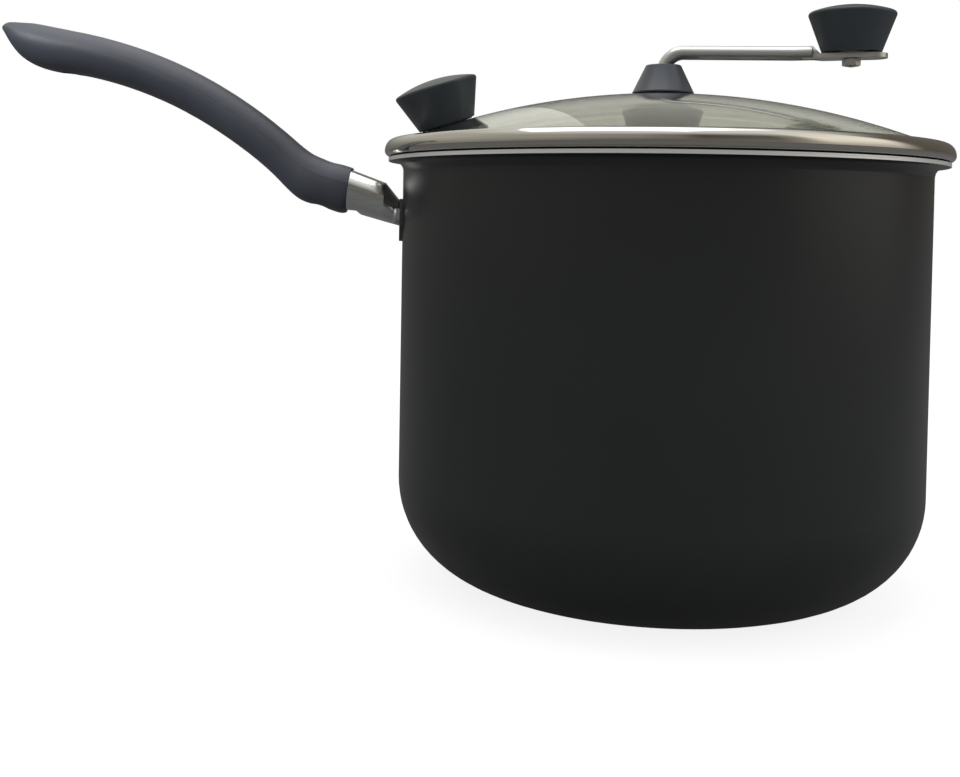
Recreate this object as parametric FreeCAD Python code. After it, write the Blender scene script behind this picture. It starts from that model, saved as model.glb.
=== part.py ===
import FreeCAD, Part
import math
import os

# Stovetop popcorn popper: a deep drawn pot with a long side handle, and a glass lid whose
# crank turns a wire stirrer just above the pot's floor. Millimetres. The origin is the middle
# of the pot's base, +Z is up and the handle points along -X.

# Pot
pot_radius = 120.0
pot_height = 191.6
pot_wall = 1.6
pot_corner_radius = 45.0
lip_overhang = 6.8
lip_fillet = 4.5

# Lid: a glass dome in a folded steel band
lid_seat_gap = 0.15
band_overhang = 1.8
band_sheet = 0.6
band_shoulder_radius = 4.0
band_foot_radius = 1.9
band_skirt_depth = 6.2
band_skirt_clearance = 1.0
band_skirt_bend = 1.5
hem_cover = 6.2
hem_gap = 0.2
glass_edge_gap = 2.0
glass_seat_gap = 0.05
glass_thickness = 4.0
glass_rise = 26.0
glass_edge_round = 1.2

# Centre hub that carries the crank
rod_radius = 3.2
running_clearance = 0.08
hub_base_radius = 14.2
hub_top_radius = 7.8
hub_height = 13.1
hub_rim_round = 0.9
hub_mouth_clearance = 2.8
hub_mouth_depth = 5.6
spigot_radius = 6.0
spigot_length = 16.5
glass_hole_clearance = 0.4
gasket_thickness = 1.0
gasket_lift = 0.08
gasket_inset = 1.2
side_gasket_thickness = 0.5
washer_thickness = 1.0
hub_washer_radius = 12.5
hub_nut_flats = 20.0
hub_nut_height = 5.5
thread_clearance = 0.03

# Crank
crank_angle = -19.0
crank_length = 83.8
arm_rise = 18.2
arm_droop = 1.8
arm_level_radius = 60.0
bend_radius = 9.0
paddle_thickness = 2.0
paddle_width = 13.0
paddle_start = 67.0
paddle_taper = 4.0
paddle_lift = 0.3
paddle_past_knob = 15.4
paddle_hole_clearance = 0.1
end_play = 0.4
clip_thickness = 1.2
clip_radius = 5.6
clip_groove_depth = 0.6
clip_mouth_share = 0.9
thrust_washer_radius = 7.0

# Knobs: one mould for the crank and for the side of the lid
knob_top_radius = 19.3
knob_base_radius = 12.9
knob_flank_height = 17.3
knob_crown = 3.5
knob_gate_radius = 1.2
knob_rim_round = 1.3
knob_screw_depth = 12.0
knob_screw_end_gap = 1.0
stud_radius = 2.0
stud_tail = 0.4
stud_chamfer = 0.5
small_nut_flats = 7.0
small_nut_height = 3.2
nut_chamfer_slope = 0.6
knob_washer_radius = 7.0
knob_washer_thickness = 0.5
side_knob_angle = 190.0
side_knob_offset = 101.0
side_washer_radius = 7.5
screw_head_radius = 4.0
screw_head_height = 2.8
head_round_share = 0.45

# Stirrer
stirrer_floor_gap = 2.0
stirrer_wire_radius = 2.0
stirrer_hub_radius = 8.0
stirrer_hub_height = 14.0
stirrer_hub_lip = 0.4
stirrer_hub_chamfer = 0.8
stirrer_rod_lift = 3.0
stirrer_run = 30.0
stirrer_sweep_radius = 62.0
stirrer_sweep = 34.0
stirrer_toe_radius = 30.0
stirrer_toe = 52.0
stirrer_screw_radius = 2.0
stirrer_screw_length = 5.0

# Handle bracket and ferrule
bracket_drop = 26.8
bracket_sheet = 1.5
bracket_gap = 0.05
plate_half_width = 18.0
plate_top = 8.0
plate_tail = 11.6
plate_tail_half_width = 5.5
plate_round = 4.0
plate_tail_bow = 0.6
rivet_spacing = 25.0
rivet_head_radius = 3.6
rivet_head_height = 2.9
rivet_shank_radius = 2.5
rivet_hole_clearance = 0.05
rivet_seat_gap = 0.05
rivet_inner_share = 0.45
tongue_thickness = 2.5
tongue_width = 12.0
tongue_bend = 12.0
tongue_root_rise = 1.0
tongue_knee_back = 2.0
tongue_knee_drop = 0.3
tongue_end_gap = 1.0
tongue_clearance = 0.25
ferrule_sheet = 1.0
ferrule_butt_gap = 0.1

# Handle grip: a spine of two arcs that carries rounded sections
grip_start_gap = 25.2
grip_start_rise = 11.8
grip_start_angle = 8.0
grip_lead = 4.0
grip_hook_radius = 41.0
grip_hook_turn = 35.3
grip_back_radius = 197.0
grip_back_turn = 38.3
grip_socket_depth = 26.0
grip_screw_station = 14.0
screw_seat_depth = 3.6
screw_seat_gap = 0.05
screw_bore_clearance = 0.3
screw_pocket_clearance = 0.4
screw_past_tongue = 2.0
hang_hole_radius = 4.5
hang_hole_setback = 33.0

# Key sections of the grip: distance along the spine, height above it, depth below it, width
grip_keys = [
    (0.0, 10.4, 10.6, 24.0),
    (3.5, 11.0, 11.1, 25.0),
    (9.0, 11.1, 10.3, 25.5),
    (16.0, 10.8, 10.9, 25.5),
    (24.0, 10.0, 10.3, 25.0),
    (33.0, 9.1, 9.6, 24.5),
    (60.0, 8.9, 9.8, 24.0),
    (100.0, 9.1, 9.7, 25.0),
    (135.0, 9.1, 10.1, 27.0),
    (151.0, 9.3, 10.8, 27.5),
    (161.0, 10.0, 9.4, 26.5),
    (167.5, 10.1, 6.6, 24.0),
    (173.0, 9.9, 1.5, 19.5),
    (176.8, 9.1, -3.4, 13.0),
    (178.6, 8.0, -5.4, 7.5),
]
grip_station_step = 7.5

# The grip's and the ferrule's section, as shares of its height and of its width
crown_drop = 0.05
bevel_drop = 0.34
foot_lift = 0.12
bevel_bulge = 0.02
top_half = 0.29
bevel_half = 0.415
side_half = 0.5
waist_half = 0.485
foot_half = 0.36

# Each section of the ferrule: top and foot, as distance from the wall and height above the
# rivets, and how much wider it is than the tongue
ferrule_sections = [
    ((1.8, 7.6), (1.9, -4.4), 3.0),
    ((8.2, 15.4), (8.8, -2.6), 8.5),
]
ferrule_end_inset = 1.0
ferrule_end_room = 10.0
ferrule_notch = [(19.5, -1.0), (19.5, 0.4), (21.3, 2.2), (26.5, 2.6), (26.5, -1.0)]

# Edges whose ends differ by less than this lie at the same height
same_place = 0.01

ORIGIN = FreeCAD.Vector(0, 0, 0)
UP = FreeCAD.Vector(0, 0, 1)

# Places that follow from the driving sizes
lip_radius = pot_radius + lip_overhang
lip_under = pot_height - pot_wall
floor_top = pot_wall
inner_radius = pot_radius - pot_wall
seat_z = pot_height + lid_seat_gap
band_radius = lip_radius + band_overhang
skirt_radius = inner_radius - band_skirt_clearance
glass_radius = band_radius - band_sheet - glass_edge_gap
glass_sphere = (glass_radius ** 2 + glass_rise ** 2) / (2 * glass_rise)
glass_inner_sphere = glass_sphere - glass_thickness
glass_edge_drop = glass_sphere - math.sqrt(glass_inner_sphere ** 2 - glass_radius ** 2)
crown_z = seat_z + band_sheet + glass_seat_gap + glass_edge_drop
hub_z = crown_z + gasket_lift + gasket_thickness
hub_top_z = hub_z + hub_height
arm_z = crown_z + arm_rise
rivet_z = pot_height - bracket_drop
wall_x = pot_radius


def vec(x, y, z):
    return FreeCAD.Vector(x, y, z)


def unit(angle):
    # Unit step in the plane of the handle, where the angle is measured up from level.
    return math.cos(math.radians(angle)), math.sin(math.radians(angle))


def ring(inner, outer, low, high):
    solid = Part.makeCylinder(outer, high - low, vec(0, 0, low))
    hole = Part.makeCylinder(inner, high - low + 2, vec(0, 0, low - 1))
    return solid.cut(hole)


def hexagon_nut(flats, bore, low, high):
    # A hexagon whose corners are turned off by a cone at both faces.
    corner = flats / math.sqrt(3)
    points = []
    for k in range(7):
        a = math.radians(60 * k)
        points.append(vec(corner * math.cos(a), corner * math.sin(a), low))
    height = high - low
    nut = Part.Face(Part.makePolygon(points)).extrude(vec(0, 0, height))
    slope = (corner - flats / 2) * nut_chamfer_slope
    body = Part.makeCone(flats / 2, corner, slope, vec(0, 0, low))
    body = body.fuse(Part.makeCylinder(corner, height - 2 * slope, vec(0, 0, low + slope)))
    body = body.fuse(Part.makeCone(corner, flats / 2, slope, vec(0, 0, high - slope)))
    hole = Part.makeCylinder(bore, height + 2, vec(0, 0, low - 1))
    return nut.common(body).cut(hole)


def bent_line(path, radii, offset):
    # Points of a line with rounded corners, moved to its right by the offset. Each corner gives
    # the start, the middle and the end of its arc.
    corners = []
    for k in range(1, len(path) - 1):
        x0, z0 = path[k - 1]
        x1, z1 = path[k]
        x2, z2 = path[k + 1]
        a0 = math.atan2(z1 - z0, x1 - x0)
        a1 = math.atan2(z2 - z1, x2 - x1)
        turn = math.atan2(math.sin(a1 - a0), math.cos(a1 - a0))
        side = 1 if turn > 0 else -1
        radius = radii[k - 1]
        run = radius * math.tan(abs(turn) / 2)
        cx = x1 - run * math.cos(a0) - side * radius * math.sin(a0)
        cz = z1 - run * math.sin(a0) + side * radius * math.cos(a0)
        moved = radius + side * offset
        arc = []
        for a in (a0, a0 + turn / 2, a1):
            arc.append((cx + side * moved * math.sin(a), cz - side * moved * math.cos(a)))
        corners.append(arc)
    ends = []
    for (x0, z0), (x1, z1), at_start in ((path[0], path[1], True), (path[-2], path[-1], False)):
        a = math.atan2(z1 - z0, x1 - x0)
        x, z = (x0, z0) if at_start else (x1, z1)
        ends.append((x + offset * math.sin(a), z - offset * math.cos(a)))
    return ends[0], corners, ends[1]


def bent_edges(path, radii, offset):
    start, corners, end = bent_line(path, radii, offset)
    edges = []
    here = start
    for first, middle, last in corners:
        edges.append(Part.makeLine(vec(here[0], 0, here[1]), vec(first[0], 0, first[1])))
        arc = Part.Arc(vec(first[0], 0, first[1]), vec(middle[0], 0, middle[1]), vec(last[0], 0, last[1]))
        edges.append(arc.toShape())
        here = last
    edges.append(Part.makeLine(vec(here[0], 0, here[1]), vec(end[0], 0, end[1])))
    return edges, start, end


def sheet_section(path, radii, thickness):
    # Face of a bent sheet. The path is one side of it, and the sheet lies to the path's right
    # when the thickness is positive and to its left when it is negative.
    near, near_start, near_end = bent_edges(path, radii, 0.0)
    far, far_start, far_end = bent_edges(path, radii, thickness)
    caps = []
    for a, b in ((near_start, far_start), (near_end, far_end)):
        caps.append(Part.makeLine(vec(a[0], 0, a[1]), vec(b[0], 0, b[1])))
    return Part.Face(Part.Wire(Part.__sortEdges__(near + far + caps)))


def revolved(face):
    return face.revolve(ORIGIN, UP, 360)


def dome_height(sphere, distance):
    # Height of a dome's surface over a point at this distance from the axis.
    return crown_z - glass_sphere + math.sqrt(sphere ** 2 - distance ** 2)


def make_pot_body():
    path = [(0, 0), (pot_radius, 0), (pot_radius, lip_under), (lip_radius, lip_under)]
    pot = revolved(sheet_section(path, [pot_corner_radius, lip_fillet], -pot_wall))
    for side in (-1, 1):
        pot = pot.cut(rivet_hole(side))
    return pot


def rivet_angle(side):
    return 180.0 + side * math.degrees(math.asin(rivet_spacing / 2 / pot_radius))


def rivet_hole(side):
    length = 4 * pot_wall
    radius = rivet_shank_radius + rivet_hole_clearance
    hole = Part.makeCylinder(radius, length, vec(pot_radius - 2 * pot_wall, 0, rivet_z), vec(1, 0, 0))
    return hole.rotate(ORIGIN, UP, rivet_angle(side))


def make_lid_band():
    hem = glass_radius - hem_cover
    top = dome_height(glass_sphere, hem) + hem_gap + band_sheet
    path = [
        (hem, top),
        (band_radius, top),
        (band_radius, seat_z),
        (skirt_radius, seat_z),
        (skirt_radius, seat_z - band_skirt_depth),
    ]
    radii = [band_shoulder_radius, band_foot_radius, band_skirt_bend]
    return revolved(sheet_section(path, radii, band_sheet))


def make_lid_glass():
    hole = spigot_radius + glass_hole_clearance
    outer = []
    inner = []
    for distance in (hole, (hole + glass_radius) / 2, glass_radius):
        outer.append(vec(distance, 0, dome_height(glass_sphere, distance)))
        inner.append(vec(distance, 0, dome_height(glass_inner_sphere, distance)))
    edges = [
        Part.Arc(outer[0], outer[1], outer[2]).toShape(),
        Part.makeLine(outer[2], inner[2]),
        Part.Arc(inner[2], inner[1], inner[0]).toShape(),
        Part.makeLine(inner[0], outer[0]),
    ]
    glass = revolved(Part.Face(Part.Wire(edges)))
    rim = []
    for edge in glass.Edges:
        box = edge.BoundBox
        if box.XMax > glass_radius - same_place and box.ZMax - box.ZMin < same_place:
            rim.append(edge)
    glass = glass.makeFillet(glass_edge_round, rim)
    bore = Part.makeCylinder(stud_radius + glass_hole_clearance, 30, vec(0, 0, -20))
    return glass.cut(on_dome(bore))


def on_dome(shape):
    # Stands a shape, made about +Z with its foot at zero, on the dome at the side knob's place.
    tilt = math.degrees(math.asin(side_knob_offset / glass_sphere))
    shape = shape.rotate(ORIGIN, vec(0, 1, 0), tilt)
    shape = shape.translate(vec(side_knob_offset, 0, dome_height(glass_sphere, side_knob_offset)))
    return shape.rotate(ORIGIN, UP, side_knob_angle)


def make_hub_cone():
    shell = Part.makeCone(hub_base_radius, hub_top_radius, hub_height, vec(0, 0, hub_z))
    top_edge = [e for e in shell.Edges if e.BoundBox.ZMin > hub_top_z - same_place]
    shell = shell.makeFillet(hub_rim_round, top_edge)
    spigot = Part.makeCylinder(spigot_radius, spigot_length, vec(0, 0, hub_z - spigot_length))
    bore = Part.makeCylinder(rod_radius + running_clearance, 100, vec(0, 0, hub_z - 50))
    mouth_radius = rod_radius + hub_mouth_clearance
    mouth = Part.makeCylinder(mouth_radius, hub_mouth_depth + 1, vec(0, 0, hub_top_z - hub_mouth_depth))
    return shell.fuse(spigot).removeSplitter().cut(bore).cut(mouth)


def hub_stack():
    # Heights under the glass, from the lower gasket's top down to the hub nut's foot.
    bulge = glass_inner_sphere - math.sqrt(glass_inner_sphere ** 2 - hub_washer_radius ** 2)
    gasket_top = crown_z - glass_thickness - bulge - gasket_lift
    washer_top = gasket_top - gasket_thickness
    nut_top = washer_top - washer_thickness
    return gasket_top, washer_top, nut_top, nut_top - hub_nut_height


def make_hub_gasket_upper():
    outer = hub_base_radius - gasket_inset
    return ring(spigot_radius + thread_clearance, outer, crown_z + gasket_lift, hub_z)


def make_hub_gasket_lower():
    top, low, _, _ = hub_stack()
    return ring(spigot_radius + thread_clearance, hub_washer_radius - gasket_inset, low, top)


def make_hub_washer():
    _, top, low, _ = hub_stack()
    return ring(spigot_radius + thread_clearance, hub_washer_radius, low, top)


def make_hub_nut():
    _, _, top, low = hub_stack()
    return hexagon_nut(hub_nut_flats, spigot_radius + thread_clearance, low, top)


def make_knob(foot):
    # A cone that widens upwards to a rounded rim and a shallow crown, with a screw hole below and
    # the small flat of the mould's gate on top.
    rim = foot + knob_flank_height
    sphere = (knob_top_radius ** 2 + knob_crown ** 2) / (2 * knob_crown)
    middle_z = rim + knob_crown - sphere
    flare = math.atan2(knob_top_radius - knob_base_radius, knob_flank_height)
    out = math.cos(flare)
    up = math.sin(flare)
    # The rim's round touches the flank and the crown, so its centre is where both offsets meet.
    ax = knob_base_radius - knob_rim_round * out
    az = foot + knob_rim_round * up - middle_z
    b = ax * up + az * out
    c = ax ** 2 + az ** 2 - (sphere - knob_rim_round) ** 2
    run = -b + math.sqrt(b ** 2 - c)
    cx = ax + run * up
    cz = az + run * out
    side = vec(cx + knob_rim_round * out, 0, middle_z + cz - knob_rim_round * up)
    stretch = sphere / (sphere - knob_rim_round)
    start = vec(cx * stretch, 0, middle_z + cz * stretch)
    half = math.atan2(cz + knob_rim_round * stretch, cx + knob_rim_round)
    bulge_x = cx + knob_rim_round * math.cos(half / 2)
    bulge = vec(bulge_x, 0, middle_z + cz + knob_rim_round * math.sin(half / 2))
    gate = math.asin(knob_gate_radius / sphere)
    lift = (math.atan2(start.x, start.z - middle_z) + gate) / 2
    top = vec(sphere * math.sin(lift), 0, middle_z + sphere * math.cos(lift))
    flat = vec(knob_gate_radius, 0, middle_z + sphere * math.cos(gate))
    hole = stud_radius + thread_clearance
    roof = foot + knob_screw_depth
    edges = [
        Part.makeLine(vec(hole, 0, foot), vec(knob_base_radius, 0, foot)),
        Part.makeLine(vec(knob_base_radius, 0, foot), side),
        Part.Arc(side, bulge, start).toShape(),
        Part.Arc(start, top, flat).toShape(),
        Part.makeLine(flat, vec(0, 0, flat.z)),
        Part.makeLine(vec(0, 0, flat.z), vec(0, 0, roof)),
        Part.makeLine(vec(0, 0, roof), vec(hole, 0, roof)),
        Part.makeLine(vec(hole, 0, roof), vec(hole, 0, foot)),
    ]
    return revolved(Part.Face(Part.Wire(edges)))


def side_knob_stack():
    # Heights on the side knob's axis: knob foot, gasket foot, and the lower washer's two faces.
    bulge = glass_inner_sphere - math.sqrt(glass_inner_sphere ** 2 - side_washer_radius ** 2)
    gasket_low = gasket_lift
    foot = gasket_low + side_gasket_thickness
    washer_top = -glass_thickness - bulge - gasket_lift
    return foot, gasket_low, washer_top, washer_top - washer_thickness


def make_side_knob():
    foot, _, _, _ = side_knob_stack()
    return on_dome(make_knob(foot))


def make_side_knob_gasket():
    foot, low, _, _ = side_knob_stack()
    return on_dome(ring(stud_radius + thread_clearance, knob_base_radius - gasket_inset, low, foot))


def make_side_knob_washer():
    _, _, top, low = side_knob_stack()
    return on_dome(ring(stud_radius + thread_clearance, side_washer_radius, low, top))


def pan_screw(head_face, tip, shank):
    # A domed screw head that hangs below its seat, with the shank going up to the tip.
    low = head_face - screw_head_height
    head = Part.makeCylinder(screw_head_radius, screw_head_height, vec(0, 0, low))
    foot = [e for e in head.Edges if e.BoundBox.ZMax < low + same_place]
    head = head.makeFillet(screw_head_height * head_round_share, foot)
    return head.fuse(Part.makeCylinder(shank, tip - head_face, vec(0, 0, head_face))).removeSplitter()


def make_side_knob_screw():
    foot, _, _, low = side_knob_stack()
    tip = foot + knob_screw_depth - knob_screw_end_gap
    return on_dome(pan_screw(low, tip, stud_radius))


def turned(shape):
    # Turns what is made along +X to the crank's direction at rest.
    return shape.rotate(ORIGIN, UP, crank_angle)


def stirrer_z():
    # Height of the stirrer wire's middle.
    return floor_top + stirrer_floor_gap + stirrer_wire_radius


def rod_foot():
    return floor_top + stirrer_rod_lift


def thrust_heights():
    # Top and foot of the thrust washer and foot of the clip, under the hub's spigot.
    washer_top = hub_z - spigot_length - end_play
    washer_low = washer_top - washer_thickness
    return washer_top, washer_low, washer_low - clip_thickness


def make_crank_rod():
    # A round bar: up through the hub, a bend, and an arm that droops a little towards the knob
    # and levels out just before its flattened end.
    foot = rod_foot()
    level_x = paddle_start - 2 * paddle_taper
    corner_z = arm_z + level_x * math.tan(math.radians(arm_droop))
    path = [(0, foot), (0, corner_z), (level_x, arm_z), (paddle_start, arm_z)]
    edges, _, _ = bent_edges(path, [bend_radius, arm_level_radius], 0.0)
    circle = Part.Wire(Part.makeCircle(rod_radius, vec(0, 0, foot)))
    rod = Part.Wire(edges).makePipeShell([circle], True, True)
    rod = rod.fuse(make_paddle()).removeSplitter()
    stud_hole = Part.makeCylinder(stud_radius + paddle_hole_clearance, 20, vec(crank_length, 0, arm_z - 10))
    rod = rod.cut(stud_hole)
    _, groove_top, groove_low = thrust_heights()
    groove = ring(rod_radius - clip_groove_depth, rod_radius + 1, groove_low, groove_top)
    return turned(rod.cut(groove))


def paddle_foot():
    return arm_z - rod_radius + paddle_lift


def make_paddle():
    # The flattened end: what the plan outline and the side outline have in common.
    low = paddle_foot()
    top = low + paddle_thickness
    end = crank_length + paddle_past_knob
    start = paddle_start - paddle_taper
    full = paddle_start + paddle_taper
    half = paddle_width / 2
    side = Part.makePolygon([
        vec(start, -half, arm_z - rod_radius),
        vec(start, -half, arm_z + rod_radius),
        vec(paddle_start, -half, arm_z + rod_radius),
        vec(full, -half, top),
        vec(end, -half, top),
        vec(end, -half, low),
        vec(full, -half, low),
        vec(paddle_start, -half, arm_z - rod_radius),
        vec(start, -half, arm_z - rod_radius),
    ])
    side = Part.Face(side).extrude(vec(0, paddle_width, 0))
    foot = arm_z - rod_radius
    narrow = rod_radius * math.sqrt(0.5)
    plan_edges = [
        Part.makeLine(vec(start, -narrow, foot), vec(start, narrow, foot)),
        Part.makeLine(vec(start, narrow, foot), vec(paddle_start, narrow, foot)),
        Part.makeLine(vec(paddle_start, narrow, foot), vec(full, half, foot)),
        Part.makeLine(vec(full, half, foot), vec(end - half, half, foot)),
        Part.Arc(vec(end - half, half, foot), vec(end, 0, foot), vec(end - half, -half, foot)).toShape(),
        Part.makeLine(vec(end - half, -half, foot), vec(full, -half, foot)),
        Part.makeLine(vec(full, -half, foot), vec(paddle_start, -narrow, foot)),
        Part.makeLine(vec(paddle_start, -narrow, foot), vec(start, -narrow, foot)),
    ]
    plan = Part.Face(Part.Wire(plan_edges)).extrude(vec(0, 0, 2 * rod_radius))
    flat = side.common(plan)
    # The thick stretch keeps to the round bar, so that no corner stands out of it.
    bar = Part.makeCylinder(rod_radius, full - start, vec(start, 0, arm_z), vec(1, 0, 0))
    plate = Part.makeBox(end - start, paddle_width, paddle_thickness, vec(start, -half, low))
    return flat.common(bar.fuse(plate))


def make_thrust_washer():
    top, low, _ = thrust_heights()
    return ring(rod_radius + running_clearance, thrust_washer_radius, low, top)


def make_retaining_clip():
    # An open ring that sits in the rod's groove.
    _, top, low = thrust_heights()
    neck = rod_radius - clip_groove_depth + thread_clearance
    low = low + thread_clearance
    top = top - thread_clearance
    clip = ring(neck, clip_radius, low, top)
    half_mouth = neck * clip_mouth_share
    corner = vec(0, -half_mouth, low - clip_thickness)
    mouth = Part.makeBox(clip_radius + 2, 2 * half_mouth, 4 * clip_thickness, corner)
    return turned(clip.cut(mouth))


def knob_base_z():
    return paddle_foot() + paddle_thickness + knob_washer_thickness + 2 * running_clearance


def at_crank_knob(shape):
    return turned(shape.translate(vec(crank_length, 0, 0)))


def make_crank_knob():
    return at_crank_knob(make_knob(knob_base_z()))


def make_crank_knob_washer():
    low = paddle_foot() + paddle_thickness + running_clearance
    top = low + knob_washer_thickness
    return at_crank_knob(ring(stud_radius + thread_clearance, knob_washer_radius, low, top))


def nut_top():
    return paddle_foot() - running_clearance


def make_crank_knob_nut():
    top = nut_top()
    low = top - small_nut_height
    return at_crank_knob(hexagon_nut(small_nut_flats, stud_radius + thread_clearance, low, top))


def make_crank_knob_stud():
    low = nut_top() - small_nut_height - stud_tail
    top = knob_base_z() + knob_screw_depth - knob_screw_end_gap
    stud = Part.makeCylinder(stud_radius, top - low, vec(0, 0, low))
    foot = [e for e in stud.Edges if e.BoundBox.ZMax < low + same_place]
    return at_crank_knob(stud.makeChamfer(stud_chamfer, foot))


def stirrer_hub_foot():
    return rod_foot() - stirrer_hub_lip


def make_stirrer_hub():
    low = stirrer_hub_foot()
    hub = Part.makeCylinder(stirrer_hub_radius, stirrer_hub_height, vec(0, 0, low))
    rims = [e for e in hub.Edges if e.BoundBox.ZMax - e.BoundBox.ZMin < same_place]
    hub = hub.makeChamfer(stirrer_hub_chamfer, rims)
    hub = hub.cut(Part.makeCylinder(rod_radius + thread_clearance, stirrer_hub_height, vec(0, 0, low)))
    socket_radius = stirrer_wire_radius + thread_clearance
    across = 2 * stirrer_hub_radius
    socket = Part.makeCylinder(socket_radius, 2 * across, vec(-across, 0, stirrer_z()), vec(1, 0, 0))
    hub = hub.cut(socket)
    hole_radius = stirrer_screw_radius + thread_clearance
    middle = vec(0, 0, stirrer_screw_z())
    hole = Part.makeCylinder(hole_radius, stirrer_hub_radius + 1, middle, vec(0, 1, 0))
    return turned(hub.cut(hole))


def stirrer_screw_z():
    return stirrer_hub_foot() + stirrer_hub_height - 2 * stirrer_screw_radius


def stirrer_reach():
    # How far from the axis the floor run of the arm may go before its toe turns up.
    return pot_radius - pot_corner_radius


def stirrer_arm_path(radius):
    # A wire that leaves the hub, sweeps sideways above the floor and turns its toe up at the wall.
    z = stirrer_z()
    start = rod_radius + thread_clearance
    sweep = math.radians(stirrer_sweep)
    run = stirrer_run
    cx = run
    cy = stirrer_sweep_radius
    ax = cx + stirrer_sweep_radius * math.sin(sweep / 2)
    ay = cy - stirrer_sweep_radius * math.cos(sweep / 2)
    bx = cx + stirrer_sweep_radius * math.sin(sweep)
    by = cy - stirrer_sweep_radius * math.cos(sweep)
    dx = math.cos(sweep)
    dy = math.sin(sweep)
    reach = stirrer_reach()
    along = -(bx * dx + by * dy) + math.sqrt((bx * dx + by * dy) ** 2 - bx ** 2 - by ** 2 + reach ** 2)
    ex = bx + along * dx
    ey = by + along * dy
    toe = math.radians(stirrer_toe)
    points = []
    for a in (toe / 2, toe):
        step = stirrer_toe_radius * math.sin(a)
        rise = stirrer_toe_radius * (1 - math.cos(a))
        points.append(vec(ex + step * dx, ey + step * dy, z + rise))
    path = Part.Wire([
        Part.makeLine(vec(start, 0, z), vec(run, 0, z)),
        Part.Arc(vec(run, 0, z), vec(ax, ay, z), vec(bx, by, z)).toShape(),
        Part.makeLine(vec(bx, by, z), vec(ex, ey, z)),
        Part.Arc(vec(ex, ey, z), points[0], points[1]).toShape(),
    ])
    circle = Part.Wire(Part.makeCircle(radius, vec(start, 0, z), vec(1, 0, 0)))
    return path.makePipeShell([circle], True, True)


def make_stirrer_arms():
    arms = []
    for half_turn in (0, 180):
        arm = stirrer_arm_path(stirrer_wire_radius)
        arms.append(turned(arm.rotate(ORIGIN, UP, half_turn)))
    return Part.makeCompound(arms)


def make_stirrer_screw():
    # A headless set screw that bears on the rod.
    tip = vec(0, rod_radius + thread_clearance, stirrer_screw_z())
    return turned(Part.makeCylinder(stirrer_screw_radius, stirrer_screw_length, tip, vec(0, 1, 0)))


def plate_outline(front, depth):
    # The bracket plate seen along the handle: wide at the rivets, with a rounded tail below.
    top = rivet_z + plate_top
    tail = rivet_z - plate_tail
    wide = plate_half_width
    low = plate_tail_half_width
    r = plate_round
    points = [
        (-(wide - r), top),
        (wide - r, top),
        (wide, top - r),
        (wide, rivet_z - r),
        (low, tail + plate_tail_bow),
        (-low, tail + plate_tail_bow),
        (-wide, rivet_z - r),
        (-wide, top - r),
    ]
    p = [vec(front, y, z) for y, z in points]
    knee = r * (1 - math.sqrt(0.5))
    edges = [
        Part.makeLine(p[0], p[1]),
        Part.Arc(p[1], vec(front, wide - knee, top - knee), p[2]).toShape(),
        Part.makeLine(p[2], p[3]),
        Part.makeLine(p[3], p[4]),
        Part.Arc(p[4], vec(front, 0, tail), p[5]).toShape(),
        Part.makeLine(p[5], p[6]),
        Part.makeLine(p[6], p[7]),
        Part.Arc(p[7], vec(front, -wide + knee, top - knee), p[0]).toShape(),
    ]
    return Part.Face(Part.Wire(edges)).extrude(vec(-depth, 0, 0))


def plate_radius():
    return pot_radius + bracket_gap + bracket_sheet


def tongue_path():
    # The tongue climbs from the plate and levels out in the grip's socket. x is measured outwards.
    out, rise = unit(grip_start_angle)
    knee_x = wall_x + grip_start_gap - tongue_knee_back
    knee_z = rivet_z + grip_start_rise - tongue_knee_drop
    end = grip_socket_depth
    return [
        (wall_x + bracket_gap + bracket_sheet / 2, rivet_z + tongue_root_rise),
        (knee_x, knee_z),
        (knee_x + end * out, knee_z + end * rise),
    ]


def tongue_solid(clearance, extra):
    path = tongue_path()
    x, z = path[-1]
    out, rise = unit(grip_start_angle)
    path[-1] = (x + extra * out, z + extra * rise)
    lift = tongue_thickness / 2 + clearance
    face = sheet_section_centred(path, [tongue_bend], lift)
    half = tongue_width / 2 + clearance
    solid = face.extrude(vec(0, 2 * half, 0))
    solid = solid.translate(vec(0, -half, 0))
    return solid.mirror(ORIGIN, vec(1, 0, 0))


def sheet_section_centred(path, radii, half):
    near, near_start, near_end = bent_edges(path, radii, -half)
    far, far_start, far_end = bent_edges(path, radii, half)
    caps = []
    for a, b in ((near_start, far_start), (near_end, far_end)):
        caps.append(Part.makeLine(vec(a[0], 0, a[1]), vec(b[0], 0, b[1])))
    return Part.Face(Part.Wire(Part.__sortEdges__(near + far + caps)))


def screw_frame():
    # Where the handle screw crosses the tongue, and the tongue's slope there.
    path = tongue_path()
    out, rise = unit(grip_start_angle)
    x = path[1][0] + grip_screw_station * out
    z = path[1][1] + grip_screw_station * rise
    return x, z


def on_screw(shape):
    # Stands a shape, made about +Z, on the handle screw's axis.
    x, z = screw_frame()
    shape = shape.rotate(ORIGIN, vec(0, 1, 0), -grip_start_angle)
    shape = shape.translate(vec(x, 0, z))
    return shape.mirror(ORIGIN, vec(1, 0, 0))


def make_bracket_plate():
    shell = ring(pot_radius + bracket_gap, plate_radius(), rivet_z - 40, rivet_z + 40)
    outline = plate_outline(-(pot_radius - 20), 60)
    plate = shell.common(outline)
    tongue = tongue_solid(0.0, 0.0)
    tongue = tongue.cut(Part.makeCylinder(pot_radius + bracket_gap + bracket_sheet / 2, 400))
    plate = plate.fuse(tongue)
    for side in (-1, 1):
        plate = plate.cut(rivet_hole(side))
    thread = Part.makeCylinder(stud_radius + thread_clearance, 12, vec(0, 0, -6))
    return plate.cut(on_screw(thread))


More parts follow.
